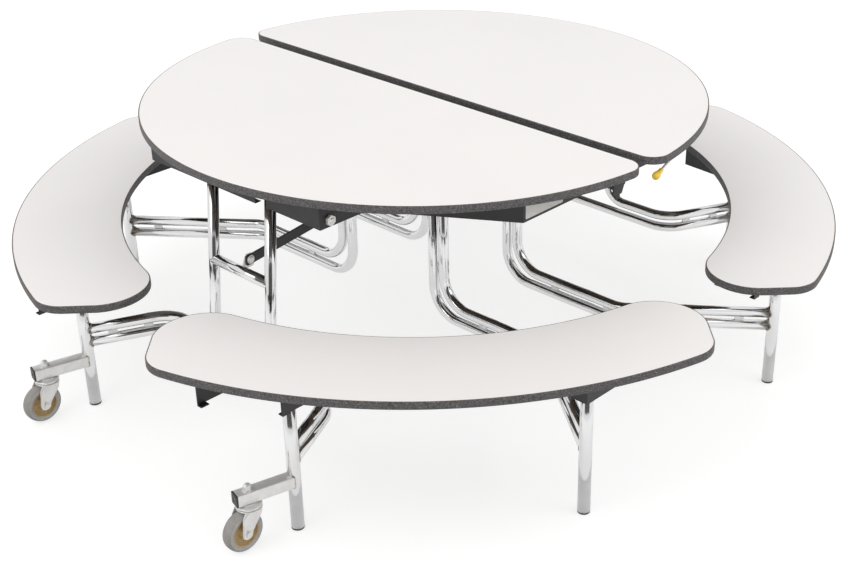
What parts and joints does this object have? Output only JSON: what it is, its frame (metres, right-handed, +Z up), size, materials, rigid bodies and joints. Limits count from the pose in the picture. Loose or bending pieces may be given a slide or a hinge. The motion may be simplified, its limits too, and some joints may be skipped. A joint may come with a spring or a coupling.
{
  "type": "cafeteria folding table with benches",
  "caption": "Round cafeteria table that folds at its middle, with curved benches linked to a tubular frame and swivel casters that carry it when folded.",
  "frame": {"origin": "on the floor under the middle of the table top", "axes": "+Z up; -Y towards the front bench; the split between the halves of the top runs along (1, -1, 0)"},
  "size_m": [2.234, 2.234, 0.737],
  "materials": {
    "laminate": "satin laminate on particle board",
    "edge_band": "satin",
    "chrome_tube": "bright chrome",
    "black_steel": "satin powder coat",
    "zinc": "zinc plated",
    "black_plastic": "moulded",
    "wheel": "moulded tyre on a pressed hub",
    "yellow_plastic": "dipped vinyl"
  },
  "bodies": {
    "near_frame": {"near_low_rail": "chrome_tube", "near_post_frame": "chrome_tube", "near_legs": "chrome_tube", "near_rail_tabs": "zinc", "near_caster_arms": "chrome_tube", "near_end_caps": "black_plastic", "near_pins_and_bolts": "zinc"},
    "near_table": {"near_top": "laminate", "near_top_edging": "edge_band", "near_side_rails": "black_steel", "near_hinge_channel": "black_steel", "near_split_beam": "black_steel", "near_pivot_bracket": "black_steel", "near_hinge_shafts": "zinc"},
    "middle_frame": {"middle_legs": "chrome_tube", "middle_low_tubes": "chrome_tube", "middle_high_tubes": "chrome_tube", "middle_rail_tabs": "zinc", "middle_beam": "black_steel", "middle_glides": "black_plastic", "middle_bench_pins": "zinc"},
    "far_table": {"far_top": "laminate", "far_top_edging": "edge_band", "far_side_rails": "black_steel", "far_hinge_channel": "black_steel", "far_split_beam": "black_steel", "far_pivot_bracket": "black_steel", "far_hinge_shafts": "zinc"},
    "far_frame": {"far_low_rail": "chrome_tube", "far_post_frame": "chrome_tube", "far_legs": "chrome_tube", "far_rail_tabs": "zinc", "far_caster_arms": "chrome_tube", "far_end_caps": "black_plastic", "far_pins_and_bolts": "zinc"},
    "near_brace": {"near_brace": "black_steel"},
    "far_brace": {"far_brace": "black_steel"},
    "release": {"release_rod": "zinc", "release_knob": "yellow_plastic"},
    "front_bench": {"front_bench_board": "laminate", "front_bench_edging": "edge_band", "front_bench_channels": "black_steel"},
    "front_caster_fork": {"front_caster_fork": "zinc"},
    "front_caster_wheel": {"front_caster_wheel": "wheel"},
    "left_bench": {"left_bench_board": "laminate", "left_bench_edging": "edge_band", "left_bench_channels": "black_steel"},
    "left_caster_fork": {"left_caster_fork": "zinc"},
    "left_caster_wheel": {"left_caster_wheel": "wheel"},
    "right_bench": {"right_bench_board": "laminate", "right_bench_edging": "edge_band", "right_bench_channels": "black_steel"},
    "right_caster_fork": {"right_caster_fork": "zinc"},
    "right_caster_wheel": {"right_caster_wheel": "wheel"},
    "back_bench": {"back_bench_board": "laminate", "back_bench_edging": "edge_band", "back_bench_channels": "black_steel"},
    "back_caster_fork": {"back_caster_fork": "zinc"},
    "back_caster_wheel": {"back_caster_wheel": "wheel"}
  },
  "joints": [
    {"name": "near_fold", "type": "hinge", "parent": "near_frame", "child": "near_table", "pos_m": [-0.45608, -0.45608, 0.673], "axis": [0.7071, -0.7071, 0], "range_deg": [0, 75]},
    {"name": "near_middle_fold", "type": "hinge", "parent": "near_table", "child": "middle_frame", "pos_m": [-0.10607, -0.10607, 0.673], "axis": [0.7071, -0.7071, 0], "range_deg": [-75, 0]},
    {"name": "far_middle_fold", "type": "hinge", "parent": "middle_frame", "child": "far_table", "pos_m": [0.10607, 0.10607, 0.673], "axis": [0.7071, -0.7071, 0], "range_deg": [-75, 0]},
    {"name": "far_fold", "type": "hinge", "parent": "far_table", "child": "far_frame", "pos_m": [0.45608, 0.45608, 0.673], "axis": [0.7071, -0.7071, 0], "range_deg": [0, 75]},
    {"name": "front_bench_fold", "type": "hinge", "parent": "near_frame", "child": "front_bench", "pos_m": [-0.35, -0.92, 0.395], "axis": [0.7071, -0.7071, 0], "range_deg": [0, 75]},
    {"name": "left_bench_fold", "type": "hinge", "parent": "near_frame", "child": "left_bench", "pos_m": [-0.92, -0.35, 0.395], "axis": [0.7071, -0.7071, 0], "range_deg": [0, 75]},
    {"name": "right_bench_fold", "type": "hinge", "parent": "middle_frame", "child": "right_bench", "pos_m": [0.92, -0.35, 0.395], "axis": [0.7071, -0.7071, 0], "range_deg": [-75, 0]},
    {"name": "back_bench_fold", "type": "hinge", "parent": "middle_frame", "child": "back_bench", "pos_m": [-0.35, 0.92, 0.395], "axis": [0.7071, -0.7071, 0], "range_deg": [-75, 0]},
    {"name": "near_brace_swing", "type": "hinge", "parent": "near_frame", "child": "near_brace", "pos_m": [-0.45255, -0.45255, 0.466], "axis": [0.7071, -0.7071, 0], "range_deg": [0, 71]},
    {"name": "far_brace_swing", "type": "hinge", "parent": "far_frame", "child": "far_brace", "pos_m": [0.45255, 0.45255, 0.466], "axis": [0.7071, -0.7071, 0], "range_deg": [-71, 0]},
    {"name": "front_caster_swivel", "type": "hinge", "parent": "near_frame", "child": "front_caster_fork", "pos_m": [-0.42716, -1.0013, 0.11], "axis": [0, 0, 1], "continuous": true},
    {"name": "front_caster_roll", "type": "hinge", "parent": "front_caster_fork", "child": "front_caster_wheel", "pos_m": [-0.44413, -1.01827, 0.0528], "axis": [0.7071, -0.7071, 0], "continuous": true},
    {"name": "left_caster_swivel", "type": "hinge", "parent": "near_frame", "child": "left_caster_fork", "pos_m": [-1.00982, -0.41864, 0.11], "axis": [0, 0, 1], "continuous": true},
    {"name": "left_caster_roll", "type": "hinge", "parent": "left_caster_fork", "child": "left_caster_wheel", "pos_m": [-1.02679, -0.43561, 0.0528], "axis": [0.7071, -0.7071, 0], "continuous": true},
    {"name": "right_caster_swivel", "type": "hinge", "parent": "far_frame", "child": "right_caster_fork", "pos_m": [1.0013, 0.42716, 0.11], "axis": [0, 0, 1], "continuous": true},
    {"name": "right_caster_roll", "type": "hinge", "parent": "right_caster_fork", "child": "right_caster_wheel", "pos_m": [1.01827, 0.44413, 0.0528], "axis": [0.7071, -0.7071, 0], "continuous": true},
    {"name": "back_caster_swivel", "type": "hinge", "parent": "far_frame", "child": "back_caster_fork", "pos_m": [0.41864, 1.00982, 0.11], "axis": [0, 0, 1], "continuous": true},
    {"name": "back_caster_roll", "type": "hinge", "parent": "back_caster_fork", "child": "back_caster_wheel", "pos_m": [0.43561, 1.02679, 0.0528], "axis": [0.7071, -0.7071, 0], "continuous": true},
    {"name": "release_pull", "type": "slide", "parent": "far_table", "child": "release", "axis": [0.7071, -0.7071, 0], "range_m": [0, 0.02], "stiffness_N_per_m": 150}
  ],
  "couplings": [
    {"joint": "near_middle_fold", "follows": "near_fold", "ratio": -1},
    {"joint": "far_middle_fold", "follows": "near_fold", "ratio": -1},
    {"joint": "far_fold", "follows": "near_fold", "ratio": 1},
    {"joint": "front_bench_fold", "follows": "near_fold", "ratio": 1},
    {"joint": "left_bench_fold", "follows": "near_fold", "ratio": 1},
    {"joint": "right_bench_fold", "follows": "near_fold", "ratio": -1},
    {"joint": "back_bench_fold", "follows": "near_fold", "ratio": -1},
    {"joint": "near_brace_swing", "follows": "near_fold", "ratio": 0.94},
    {"joint": "far_brace_swing", "follows": "near_fold", "ratio": -0.94}
  ]
}
